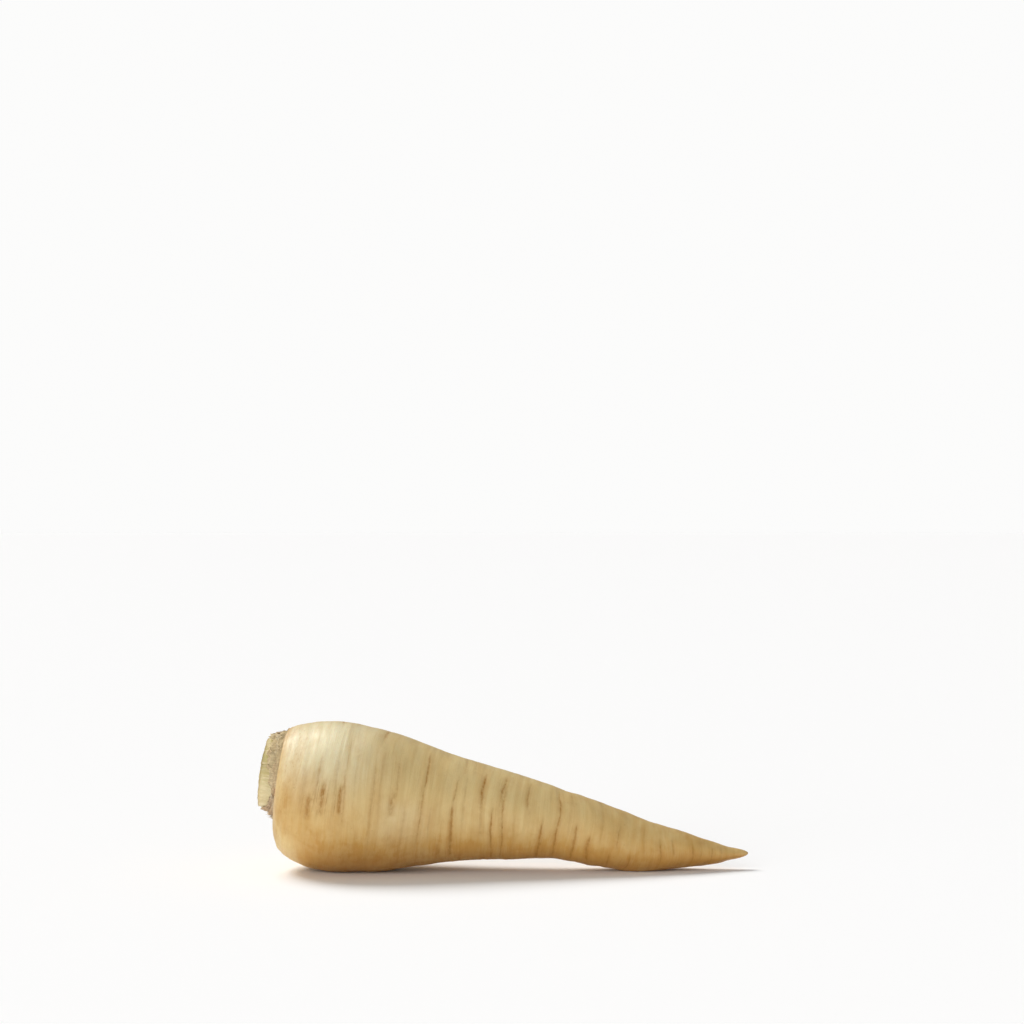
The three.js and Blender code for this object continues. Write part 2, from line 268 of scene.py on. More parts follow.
def wrapped_quads(rows, columns, ring=False):
    """Quads of a grid that closes across its columns, and across its rows too where it is a ring."""
    i, j = np.meshgrid(np.arange(rows if ring else rows - 1), np.arange(columns), indexing="ij")
    here, there = i * columns, ((i + 1) % rows) * columns
    beside = (j + 1) % columns
    return np.stack([here + j, there + j, there + beside, here + beside], -1).reshape(-1, 4)


def weld(piece, reach=1e-6):
    """Joins corners that lie in one place, so that a row drawn together to a point is a closed pole."""
    form = bmesh.new()
    form.from_mesh(piece.data)
    bmesh.ops.remove_doubles(form, verts=form.verts, dist=reach)
    form.to_mesh(piece.data)
    form.free()


def all_round(count):
    """The angles of a number of columns, evenly round a full turn."""
    return np.arange(count) * 2 * np.pi / count


def spread(shape, *values):
    """A layer for the corners of a grid of that shape: the values side by side, each spread over it."""
    return np.stack([np.broadcast_to(value, shape) for value in values], -1)


# Rows are spaced by the length of the skin between them, and closer together at the rim, on the marks and
# at the tip.
TRIAL_ROWS = 6000
MARK_CROWDING = 3.5  # for a groove 1 deep
END_CROWDING = 1.5
even = ROOT_LENGTH * np.linspace(0, 1, TRIAL_ROWS) ** 2.4
near_marks = np.exp(-(((even - FRONT_MARKS[:, :1]) / 1.4) ** 2))
near_ends = np.exp(-((even / 1.5) ** 2)) + np.exp(-(((ROOT_LENGTH - even) / 2.5) ** 2))
crowding = 1 + MARK_CROWDING * np.max(FRONT_MARKS[:, 5:] * near_marks, axis=0) + END_CROWDING * near_ends
stretch = np.hypot(np.diff(even), np.diff(body_radius(even, 0.0)))
gathered = np.concatenate([[0], np.cumsum(stretch * (crowding[1:] + crowding[:-1]) / 2)])
stations = np.interp(np.linspace(0, gathered[-1], ROOT_ROWS), gathered, even)[:, None]
angles = all_round(ROOT_COLUMNS)

# How far each row lies from the rim over the skin, and how much of the way there leads outwards: all of it
# on the face of the shoulder, which fine wrinkles ring.
outline = body_radius(stations, 0.0)
steps = np.hypot(np.diff(stations, axis=0), np.diff(outline, axis=0))
from_rim = np.concatenate([np.zeros((1, 1)), np.cumsum(steps, axis=0)])
outwards = np.clip(np.gradient(outline[:, 0], from_rim[:, 0]), 0, 1)[:, None]
wrinkles = ripple(from_rim, angles, seed=14, count=12, around=(0, 4), length=(1.7, 4.2), height=0.08)
wrinkles *= between(from_rim, (0.5, 3), (9, 24))

LOW_RELIEF = [
    # seed, waves, crests round the root, wavelength along it, height
    (11, 9, (0, 4), (18, 60), 0.16),
    (12, 12, (2, 9), (6, 16), 0.06),
    (13, 14, (0, 4), (1.6, 3.4), 0.02),
]
relief = sum(ripple(stations, angles, *waves) for waves in LOW_RELIEF)
relief *= smooth(stations, 0, 6) * smooth(ROOT_LENGTH - stations, 1, 9)

skin_along = stations + lean(stations, angles)
groove, mark_offset, mark_strength, mark_stain = read_marks(stations + 0 * angles, angles + 0 * stations)
skin_radius = body_radius(skin_along, angles) - groove + relief + wrinkles * (1 - outwards)
skin_lift = CROWN_LIFT * narrowing(skin_along) ** 2.5
skin = place(skin_along - wrinkles * outwards, np.maximum(skin_radius, 0), angles, skin_lift)
skin[-1] = skin[-1].mean(0)

# The hollow's wall, as (depth, radius): from the middle of the socket's floor out and up to the rim.
wall = np.array([
    [SOCKET_DEPTH, 0], [SOCKET_DEPTH, STALK_RADIUS + GAP], [CROWN_DEPTH, STALK_RADIUS + GAP],
    [CROWN_DEPTH, RIM_RADIUS - 1.7], [3, RIM_RADIUS - 1.2], [1.5, RIM_RADIUS - 0.95],
    [0.8, RIM_RADIUS - 0.8], [0.35, RIM_RADIUS - 0.6], [0.1, RIM_RADIUS - 0.3],
])
crater = place(wall[:, :1], wall[:, 1:], angles)
root_points = np.concatenate([crater, skin])
root_points[..., 2] = np.maximum(root_points[..., 2], 0)  # the two small flats that it rests on

# What the skin's colour is drawn from, corner by corner: the straightened root (over the skin, then two
# ways across), and the nearest mark (offset, strength, stain).
grid = root_points.shape[:2]
wall_shape = crater.shape[:2]
wall_along = np.broadcast_to(-wall[:, :1], wall_shape)
all_along = np.concatenate([wall_along, stations + 0 * angles])
all_from_rim = np.concatenate([wall_along, from_rim + 0 * angles])
all_radius = np.concatenate([np.broadcast_to(wall[:, 1:], wall_shape), skin_radius])
straight = spread(grid, all_from_rim, all_radius * np.cos(angles), all_radius * np.sin(angles))
mark_layer = np.concatenate([
    spread(wall_shape, 9, 0, 0), spread(skin_radius.shape, mark_offset, mark_strength, mark_stain),
])

# And three tints. The first is golden on the front of the shoulder, round the rim and towards the tip,
# and golden to ochre underneath, where it is painted shade on the underside. The second is pale on the
# shoulder's upper front and a patch behind it, partly a painted highlight on the side that faces the
# light. The third is brown in the crater and round it.
# Painted shade on the underside: the skin turns golden to ochre the lower it faces, more or less strongly
# along the root.
shade_below = ((1 - np.sin(angles)) / 2) ** 2.4 * (0.76 + 0.24 * np.cos(angles + 0.9))
shade_below_strength = 1.7 + 0.15 * smooth(all_along, 30, 50)
shade_below_strength += 0.4 * smooth(all_along, 134, 150) - 0.5 * smooth(all_along, 96, 118)
cheek = arc(angles, 4, 34) * between(all_along, (1, 5), (8, 19))
low_cheek = arc(angles, -28, 30) * between(all_along, (7, 17), (32, 46))
round_rim = 1 - smooth(all_from_rim, 4, 15)
golden = shade_below_strength * shade_below * smooth(all_along, 3, 20) + 0.6 * smooth(all_along, 84, 150)
golden += 0.7 * cheek + 0.14 * low_cheek + 0.42 * round_rim + 0.13
# Pale cream on the shoulder's upper front, which faces the light, and a patch behind it: partly a paler skin
# and partly a painted highlight.
pale = arc(angles, 57, 43) * between(all_along, (-1, 3), (18, 48))
pale += 0.26 * arc(angles, -12, 20) * between(all_along, (33, 46), (50, 64))
rust_reach = 9 + 1.4 * np.sin(3 * angles) + np.sin(8 * angles + 1)
rust = np.clip(1 - np.maximum(all_from_rim, 0) / rust_reach, 0, 1)

root = make_object(
    "root_skin",
    root_points,
    wrapped_quads(*grid),
    layers={"straight": straight, "mark": mark_layer, "tints_and_painted_light": spread(grid, golden, pale, rust)},
)
weld(root)


# ---- what every finish is made with
def add(tree, kind, inputs=None, **settings):
    """A node of that kind, with its settings, and its inputs set to values or joined to outputs."""
    made = tree.nodes.new(kind)
    for name, value in settings.items():
        setattr(made, name, value)
    for key, value in (inputs or {}).items():
        if isinstance(value, bpy.types.NodeSocket):
            tree.links.new(value, made.inputs[key])
        else:
            made.inputs[key].default_value = value
    return made


def sums(tree, operation, a, b=0.0, c=0.0, clamp=False):
    """One arithmetic step on up to three numbers."""
    return add(tree, "ShaderNodeMath", {0: a, 1: b, 2: c}, operation=operation, use_clamp=clamp).outputs[0]


def times(tree, a, b, clamp=False):
    """a times b."""
    return sums(tree, "MULTIPLY", a, b, clamp=clamp)


def times_plus(tree, a, b, c, clamp=False):
    """a times b, plus c."""
    return sums(tree, "MULTIPLY_ADD", a, b, c, clamp)


def ramp(tree, value, low, high, to_low=0.0, to_high=1.0):
    """The value carried smoothly from low..high to to_low..to_high, and held outside."""
    step = add(tree, "ShaderNodeMapRange", {
        "Value": value, "From Min": low, "From Max": high, "To Min": to_low, "To Max": to_high,
    }, interpolation_type="SMOOTHSTEP")
    return step.outputs["Result"]


def blend_colours(tree, factor, a, b):
    """Colour a, with colour b laid over it as strongly as factor says."""
    mixed = add(tree, "ShaderNodeMix", {"Factor": factor, "A": a, "B": b}, data_type="RGBA")
    return mixed.outputs["Result"]


def noise(tree, vector, scale, detail=3.0, roughness=0.5, distortion=0.0):
    """Soft cloudy noise, about 0.5, at a number of clouds to the unit of the vector."""
    return add(tree, "ShaderNodeTexNoise", {
        "Vector": vector, "Scale": scale, "Detail": detail, "Roughness": roughness,
        "Distortion": distortion,
    }).outputs["Fac"]


def layer(tree, title):
    """A corner layer of the piece, as a vector and as its three numbers."""
    vector = add(tree, "ShaderNodeAttribute", attribute_name=title).outputs["Vector"]
    split = add(tree, "ShaderNodeSeparateXYZ", {"Vector": vector})
    return vector, *split.outputs


def group(name, sockets_in, sockets_out):
    """An empty node group with those named sockets, each given as (name, kind, default)."""
    tree = bpy.data.node_groups.new(name, "ShaderNodeTree")
    for title, kind, default in sockets_in:
        socket = tree.interface.new_socket(title, in_out="INPUT", socket_type=kind)
        if default is not None:
            socket.default_value = default
    for title, kind in sockets_out:
        tree.interface.new_socket(title, in_out="OUTPUT", socket_type=kind)
    return tree, tree.nodes.new("NodeGroupInput").outputs, tree.nodes.new("NodeGroupOutput")


def use(tree, made, **inputs):
    """The group placed in a tree, with its inputs by name."""
    return add(tree, "ShaderNodeGroup", inputs, node_tree=made).outputs


def build_streaks():
    """Fibres: noise squeezed and drawn out along its axes, in two sizes, the finer one half as strong."""
    tree, given, result = group(
        "plant_fibres",
        [("Vector", "NodeSocketVector", None), ("Squeeze", "NodeSocketVector", (1, 1, 1)),
         ("Low", "NodeSocketFloat", 0.35), ("High", "NodeSocketFloat", 0.65)],
        [("Mask", "NodeSocketFloat")],
    )
    axes = {0: given["Vector"], 1: given["Squeeze"]}
    drawn = add(tree, "ShaderNodeVectorMath", axes, operation="MULTIPLY").outputs[0]
    coarse = noise(tree, drawn, 1.0, 2.0, 0.55)
    fine = noise(tree, drawn, 3.1, 2.0, 0.6)
    both = times_plus(tree, fine, 0.33, times(tree, coarse, 0.67))
    tree.links.new(ramp(tree, both, given["Low"], given["High"]), result.inputs["Mask"])
    return tree


def build_mottle():
    """Cloudy patches: noise with fine detail, so with ragged edges, cut to a mask between two levels."""
    tree, given, result = group(
        "cloudy_patches",
        [("Scale", "NodeSocketFloat", 50.0), ("Low", "NodeSocketFloat", 0.4),
         ("High", "NodeSocketFloat", 0.6)],
        [("Mask", "NodeSocketFloat")],
    )
    where = add(tree, "ShaderNodeTexCoord").outputs["Object"]
    cloud = noise(tree, where, given["Scale"], 5.0, 0.6, 0.4)
    tree.links.new(ramp(tree, cloud, given["Low"], given["High"]), result.inputs["Mask"])
    return tree


FIBRES = build_streaks()
PATCHES = build_mottle()


def fibrous(tree, vector, squeeze, low, high):
    """A mask of fibres, as many to the unit of the vector's three axes as squeeze says."""
    return use(tree, FIBRES, Vector=vector, Squeeze=squeeze, Low=low, High=high)["Mask"]


def clouded(tree, scale, low, high):
    """A mask of cloudy patches, scale of them to the metre."""
    return use(tree, PATCHES, Scale=scale, Low=low, High=high)["Mask"]


def finish_with(name, paint):
    """A material whose tree the paint function fills in, given the tree and its Principled shader."""
    material = bpy.data.materials.new(name)
    material.use_nodes = True
    tree = material.node_tree
    paint(tree, tree.nodes["Principled BSDF"])
    return material


CREAM = (0.76, 0.6, 0.29, 1)
PALE_CREAM_AND_HIGHLIGHT = (0.84, 0.76, 0.5, 1)
STRAW = (0.65, 0.465, 0.195, 1)
GOLDEN_TAN_AND_SHADE = (0.6, 0.35, 0.094, 1)
OCHRE = (0.43, 0.2, 0.036, 1)
SCAR_BROWN = (0.34, 0.155, 0.02, 1)
SHOULDER_TAN = (0.52, 0.37, 0.18, 1)
RUST_BROWN = (0.2, 0.095, 0.045, 1)


def paint_skin(tree, shader):
    """Cream skin: straw bands and fine fibres round the root, golden patches where the tints say, golden to
    ochre painted shade on the underside, pale cream on the upper front that is partly a painted highlight,
    soft brown growth rings and scars with a stain round them, and small dark specks."""
    straight_at, from_rim_at, _, _ = layer(tree, "straight")
    _, offset, strength, stain = layer(tree, "mark")
    _, gold, pale_and_highlight_part, rust_part = layer(tree, "tints_and_painted_light")
    where = add(tree, "ShaderNodeTexCoord").outputs["Object"]

    broad = clouded(tree, 42.0, 0.36, 0.66)
    blotches = clouded(tree, 115.0, 0.34, 0.7)
    small = clouded(tree, 190.0, 0.45, 0.7)
    tiny = clouded(tree, 560.0, 0.66, 0.76)
    bands = fibrous(tree, straight_at, (0.28, 0.02, 0.02), 0.38, 0.62)
    smears = fibrous(tree, straight_at, (0.7, 0.09, 0.09), 0.42, 0.66)
    threads = fibrous(tree, straight_at, (4.5, 0.14, 0.14), 0.34, 0.66)

    colour = blend_colours(tree, times(tree, bands, 0.6), CREAM, STRAW)
    # Golden where the tints say: a real golden tone on the shoulder, rim and tip, and painted shade on the
    # underside.
    golden_and_shade_here = times_plus(tree, broad, 0.28, times_plus(tree, smears, 0.26, 0.4))
    golden_and_shade_here = times_plus(tree, blotches, 0.24, golden_and_shade_here)
    golden_and_shade_here = times(tree, golden_and_shade_here, sums(tree, "MINIMUM", gold, 1.25), clamp=True)
    colour = blend_colours(tree, golden_and_shade_here, colour, GOLDEN_TAN_AND_SHADE)
    patchy = times_plus(tree, broad, 0.26, times_plus(tree, smears, 0.26, 0.57))
    # Painted shade: where the golden share is highest, mostly on the underside, the skin goes on to ochre.
    deeper_gold_and_shade = times(tree, ramp(tree, gold, 0.7, 1.9, 0.0, 0.85), patchy)
    colour = blend_colours(tree, deeper_gold_and_shade, colour, OCHRE)
    streaked = times_plus(tree, smears, 0.25, times_plus(tree, bands, -0.25, 0.85))
    # Pale cream streaked with the bands, partly a painted highlight on the lit upper front.
    colour = blend_colours(tree, times(tree, pale_and_highlight_part, streaked), colour, PALE_CREAM_AND_HIGHLIGHT)
    colour = blend_colours(tree, times(tree, threads, 0.07), colour, OCHRE)
    freckle = times(tree, small, times_plus(tree, gold, 0.16, 0.05))
    colour = blend_colours(tree, freckle, colour, OCHRE)
    specks = times(tree, tiny, times_plus(tree, gold, 0.35, 0.2, clamp=True))
    colour = blend_colours(tree, specks, colour, SCAR_BROWN)
    near_crown = ramp(tree, from_rim_at, 4.0, 22.0, 1.0, 0.0)
    flecks = fibrous(tree, straight_at, (1.7, 0.4, 0.4), 0.52, 0.66)
    flecked = times_plus(tree, blotches, 0.3, times(tree, flecks, 0.34))
    flecked = times(tree, flecked, near_crown)

    # A ring's line fades in and out along its length and breaks up into dashes. The skin is stained round
    # it.
    broken = fibrous(tree, straight_at, (0.4, 0.35, 0.35), 0.3, 0.6)
    dashes = fibrous(tree, straight_at, (1.9, 0.6, 0.6), 0.36, 0.6)
    split = fibrous(tree, straight_at, (2.3, 0.22, 0.22), 0.38, 0.58)
    line = ramp(tree, sums(tree, "ABSOLUTE", offset), 0.05, 0.95, 1.0, 0.0)
    line = times(tree, line, ramp(tree, strength, 0.0, 0.72))
    line = times(tree, line, times_plus(tree, broken, 0.5, 0.5))
    line = times(tree, line, times_plus(tree, dashes, 0.5, 0.5))
    line = times(tree, line, times_plus(tree, split, 0.6, 0.55))
    stained = times(tree, stain, times_plus(tree, broken, 0.5, 0.28))
    colour = blend_colours(tree, stained, colour, OCHRE)
    colour = blend_colours(tree, times(tree, line, 0.88), colour, SCAR_BROWN)
    flaked = sums(tree, "ADD", noise(tree, where, 420.0, 5.0, 0.65), -0.5)
    flaked = times_plus(tree, flaked, 0.36, rust_part)
    flaked = times_plus(tree, smears, 0.16, flaked)
    dulled = times(tree, ramp(tree, flaked, 0.15, 0.95), times_plus(tree, smears, 0.3, 0.4))
    colour = blend_colours(tree, dulled, colour, SHOULDER_TAN)
    colour = blend_colours(tree, flecked, colour, OCHRE)
    colour = blend_colours(tree, ramp(tree, flaked, 0.92, 1.1, 0.0, 0.85), colour, RUST_BROWN)
    tree.links.new(colour, shader.inputs["Base Color"])

    shine = times_plus(tree, small, 0.14, 0.43)
    shine = times_plus(tree, line, 0.2, shine, clamp=True)
    tree.links.new(shine, shader.inputs["Roughness"])

    grain = noise(tree, where, 1500.0, 3.0, 0.6)
    height = times(tree, threads, 0.14)
    height = times_plus(tree, smears, 0.1, height)
    height = times_plus(tree, grain, 0.2, height)
    height = times_plus(tree, line, -0.08, height)
    bump = add(tree, "ShaderNodeBump", {"Height": height, "Strength": 0.4, "Distance": 0.00025})
    tree.links.new(bump.outputs["Normal"], shader.inputs["Normal"])
    shader.inputs["Specular IOR Level"].default_value = 0.4
    shader.inputs["Subsurface Weight"].default_value = 0.12
    shader.inputs["Subsurface Radius"].default_value = (1.0, 0.55, 0.25)
    shader.inputs["Subsurface Scale"].default_value = 0.002


root.data.materials.append(finish_with("parsnip_skin", paint_skin))
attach(root, "root")
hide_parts("root")


# ---------------------------------------------------------------- the dry scales round the crown
# What is left of older leaves: thin brown papery bases that stand in rings in the crown's hollow and lean
# on the stalks inside them, torn off ragged just outside the rim. Between them lie a felted bed of the
# same dead matter and the loose fibres of scales that have worn away.
SCALE_RINGS = [
    # radius, height above the rim, scales in the ring, width of each in degrees
    (14.0, 6.0, 8, 66),
    (14.6, 5.6, 10, 54),
    (15.3, 4.4, 12, 46),
    (16.0, 3.2, 14, 40),
    (16.7, 1.8, 17, 34),
]
RING_TURN = 0.7  # from one ring of scales to the next
SCALE_FOOT = 2.8  # how deep in the hollow a scale starts
FIBRE_COUNT = 340
FIBRE_START = 1.5  # how deep in the hollow a fibre starts
BED_FLOOR = CROWN_DEPTH - GAP
BED_COLUMNS = 220
BED_TOP_ROWS = 26
BED_WAVES = 0.4


def scale_envelope(angle):
    """The share of their full height that the scales reach: all of it above and below, less at the
    sides."""
    return 0.36 + 0.78 * arc(angle, 84, 74) + 0.74 * arc(angle, -92, 36)


# The bed's section, as (depth, radius): down the outside, under the floor, up the inside, over the waved
# top.
bed_angle = all_round(BED_COLUMNS)
top_share = np.linspace(0, 1, BED_TOP_ROWS)
bed_in, bed_out = STALK_RADIUS + GAP + 0.1, RIM_RADIUS - 1.25
bed_top = np.stack([
    BED_WAVES * np.sin(5 * np.pi * top_share) - 1.3 + 1.7 * top_share**1.5,
    bed_in + (bed_out - bed_in) * top_share,
], -1)
bed_walls = [
    [3, RIM_RADIUS - 1.2 - GAP], [BED_FLOOR, RIM_RADIUS - 1.7 - GAP], [BED_FLOOR, bed_in], [2, bed_in],
]
bed_section = np.concatenate([bed_walls, bed_top])
bed_rows = bed_section[:, :1]
bed_radius = bed_section[:, 1:]
loose = (bed_rows < 1.5) * 1.0
tufts = ripple(7 * bed_radius, bed_angle, seed=21, count=10, around=(5, 24), length=(4, 11), height=0.28)
hairs = ripple(9 * bed_radius, bed_angle, seed=22, count=12, around=(25, 70), length=(2, 6), height=0.12)
bed_points = place(bed_rows + loose * (tufts + hairs), bed_radius, bed_angle)
bed_grid = bed_points.shape[:2]
bed_grown = spread(bed_grid, bed_radius * np.cos(bed_angle), bed_radius * np.sin(bed_angle), bed_rows)
bed = make_object(
    "crown_scale_bed",
    bed_points,
    wrapped_quads(*bed_grid, ring=True),
    layers={"grown": bed_grown, "worn": spread(bed_grid, 0.2, 0.45, 0)},
)


def scale_shells(seed):
    """Every scale as a closed thin shell: (scale, row, column). A row is a slim lens round the scale at a
    height, as wide as the scale is there. Rows follow the ring's curve, lean in on the stalks or out over
    the rim, and wave as dried leaves do. Towards the tip the height of each column is torn by a sum of
    sines of its place across."""
    dice = np.random.default_rng(seed)
    rows, columns = 18, 34
    up = np.linspace(0, 1, rows)[:, None]
    across, thick = np.cos(all_round(columns)), np.sin(all_round(columns))
    shells, worn, grown = [], [], []
    for number, (radius, height, count, width) in enumerate(SCALE_RINGS):
        def draw(low, high):
            return dice.uniform(low, high, (count, 1, 1))

        places = np.arange(count)[:, None, None] + draw(-0.25, 0.25)
        facing = places * 2 * np.pi / count + RING_TURN * number
        half = np.radians(width / 2) * draw(0.8, 1.2)
        tall = height * draw(0.8, 1.1) * scale_envelope(facing)
        phase = draw(0, 6.28)
        torn = 0.05 * np.sin(5 * across + phase) + 0.04 * np.sin(13 * across + 2 * phase)
        torn = torn + 0.03 * np.sin(29 * across + 3 * phase) - 0.22 * np.abs(across) ** 3
        along = SCALE_FOOT - (SCALE_FOOT + tall) * up * (1 + torn * up)
        angle = facing + half * across * (0.72 + 0.28 * np.sqrt(1 - up**3))
        body = 0.15 * np.sin(np.pi * np.clip(up, 0.08, 0.93)) ** 0.3 * thick
        body = body * np.sqrt(1.02 - across**2)
        waves = 0.14 * np.sin(9 * angle + 2 * phase) * up + 0.09 * np.sin(23 * angle + 7 * up + phase) * up
        waves = waves + 0.06 * np.sin(19 * up + phase + 3 * across)
        out = radius + draw(-0.75, 0.35) * up**1.3 + draw(-0.3, 0.5) * up**4 * across**2 + waves + body
        out = np.maximum(out, STALK_RADIUS + 0.12 + 0.08 * thick)
        here = place(along, out, angle)
        here[:, 0] = here[:, 0].mean(1, keepdims=True)
        shells.append(here)
        shape = here.shape[:3]
        worn.append(spread(shape, draw(0.1, 1), up, draw(0.35, 1) * arc(facing, 46, 62)))
        grown.append(spread(shape, radius * angle, out, along))
    return np.concatenate(shells), np.concatenate(worn), np.concatenate(grown)


def fold_shut(rows, columns, first=True):
    """Quads that close the last row of a shell, and its first row too, each folded flat across its
    section."""
    i = np.arange(columns // 2 - 1)
    end = np.stack([i, i + 1, columns - 2 - i, columns - 1 - i], -1)
    far = (rows - 1) * columns + end[:, ::-1]
    return np.concatenate([end, far]) if first else far


scale_points, scale_worn, scale_grown = scale_shells(seed=31)
scale_grid = scale_points.shape[1:3]
scales = make_object(
    "crown_scale_blades",
    scale_points,
    np.concatenate([wrapped_quads(*scale_grid), fold_shut(*scale_grid, first=False)]),
    shells=len(scale_points),
    layers={"grown": scale_grown, "worn": scale_worn},
)
weld(scales)


def fibre_shells(count, seed):
    """Loose fibres as tapering tubes (fibre, row, column). Each starts in the bed at a place of its own
    and sways out along a curve that bends more the further it goes."""
    dice = np.random.default_rng(seed)
    rows, columns = 9, 5
    up = np.linspace(0, 1, rows)[:, None]
    round_it = all_round(columns)

    def draw(low, high):
        return dice.uniform(low, high, (count, 1, 1))

    start = draw(0, 2 * np.pi)
    radius = draw(STALK_RADIUS + 0.6, RIM_RADIUS - 1.2)
    room = 1 - (radius - STALK_RADIUS) / (RIM_RADIUS - STALK_RADIUS)
    length = (draw(2.5, 4) + 5 * room * draw(0.6, 1)) * scale_envelope(start)
    thick = draw(0.05, 0.13) * np.clip(1 - up, 0.02, 1) ** 0.6
    along = FIBRE_START - length * (up - 0.12 * up**2)
    bend = draw(-0.16, 0.16) * up**2 + draw(-0.03, 0.03) * np.sin(5 * up + draw(0, 6))
    out = radius + draw(-0.9, 0.8) * up**2 + 0.15 * np.sin(6 * up + draw(0, 6)) * up
    out = np.maximum(out, STALK_RADIUS + 0.25)
    turn = start + bend + thick * np.cos(round_it) / radius
    points = place(along, out + thick * np.sin(round_it), turn)
    points[:, 0] = points[:, 0].mean(1, keepdims=True)
    points[:, -1] = points[:, -1].mean(1, keepdims=True)
    shape = points.shape[:3]
    worn = spread(shape, draw(0.3, 1), 0.3 + 0.7 * up, draw(0, 0.5))
    return points, worn, spread(shape, radius * turn, out, along)


fibre_points, fibre_worn, fibre_grown = fibre_shells(FIBRE_COUNT, seed=41)
fibres = make_object(
    "crown_scale_fibres",
    fibre_points,
    wrapped_quads(*fibre_points.shape[1:3]),
    shells=len(fibre_points),
    layers={"grown": fibre_grown, "worn": fibre_worn},
)
weld(fibres)

PAPER_TAN = (0.64, 0.43, 0.23, 1)
PAPER_PALE = (0.8, 0.69, 0.48, 1)
DEAD_BROWN_AND_SHADE = (0.16, 0.08, 0.04, 1)
PINK_BROWN = (0.5, 0.28, 0.15, 1)
FADED_GREEN = (0.8, 0.65, 0.36, 1)


def paint_scales(tree, shader):
    """Dead leaf bases: darkened low in the hollow by painted shade, paler to the torn tips, and streaked
    lengthwise with fibres.
    """
    grown_at = layer(tree, "grown")[0]
    _, paleness, up, fresh = layer(tree, "worn")
    strands = fibrous(tree, grown_at, (2.6, 2.6, 0.14), 0.34, 0.64)
    fine = fibrous(tree, grown_at, (8.0, 8.0, 0.5), 0.3, 0.7)
    patches = clouded(tree, 260.0, 0.38, 0.62)
    colour = blend_colours(tree, patches, PINK_BROWN, PAPER_TAN)
    colour = blend_colours(tree, times(tree, paleness, ramp(tree, up, 0.25, 0.85)), colour, PAPER_PALE)
    colour = blend_colours(tree, times(tree, fresh, 0.8), colour, FADED_GREEN)
    colour = blend_colours(tree, times(tree, strands, 0.3), colour, DEAD_BROWN_AND_SHADE)
    # Painted shade: the foot of every scale and fibre, low in the hollow, darkens to brown.
    colour = blend_colours(tree, ramp(tree, up, 0.15, 0.45, 0.7, 0.0), colour, DEAD_BROWN_AND_SHADE)
    tree.links.new(colour, shader.inputs["Base Color"])
    tree.links.new(times_plus(tree, fine, 0.2, 0.7), shader.inputs["Roughness"])
    height = times_plus(tree, fine, 0.5, strands)
    bump = add(tree, "ShaderNodeBump", {"Height": height, "Strength": 0.5, "Distance": 0.0003})
    tree.links.new(bump.outputs["Normal"], shader.inputs["Normal"])
    shader.inputs["Specular IOR Level"].default_value = 0.25


scale_finish = finish_with("dry_leaf_bases", paint_scales)
for piece in (bed, scales, fibres):
    piece.data.materials.append(scale_finish)
    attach(piece, "root")
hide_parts("crown_scales")


# ---------------------------------------------------------------- the cut leaf stalks
# The foot of this year's leaves, cut across with a knife a few millimetres outside the rim. Rings of thick
# crescents clasp one another round a small heart, with hardly a gap. They are green and ribbed outside,
# and pale and firm where they are cut, with small vessels in the cut and a browned, dried edge.
STALK_HEIGHT = 7.4
STALK_FOOT = 2.0  # how deep in the hollow a stalk starts
STALK_GAP = 0.02
RING_STEP = 3.4  # about how much each ring of stalks is smaller than the last
HEART_RADIUS = 4.1
STALK_RINGS = [
    # thickness of a stalk at its middle and at its edges, stalks in the ring, angle that the first one
    # faces
    (3.6, 1.1, 3, 80),
    (3.6, 1.1, 3, 20),
    (3.0, 1.0, 2, 110),
    (3.0, 1.0, 2, 20),
]
OUTER_BEVEL, INNER_BEVEL = 0.34, 0.07
STALK_SPACING = 40  # sets the fibres of one stalk apart from those of the next
PLUG_COLUMNS = 96


def stalk_thickness(angle, ring):
    """How thick the stalks of a ring are: from the edges' thickness to the middle's by a squared cosine,
    so that two rings set half a stalk apart have a round inside."""
    middle, edge, count, facing = ring
    return edge + (middle - edge) * np.cos(count * (angle - np.radians(facing)) / 2) ** 2


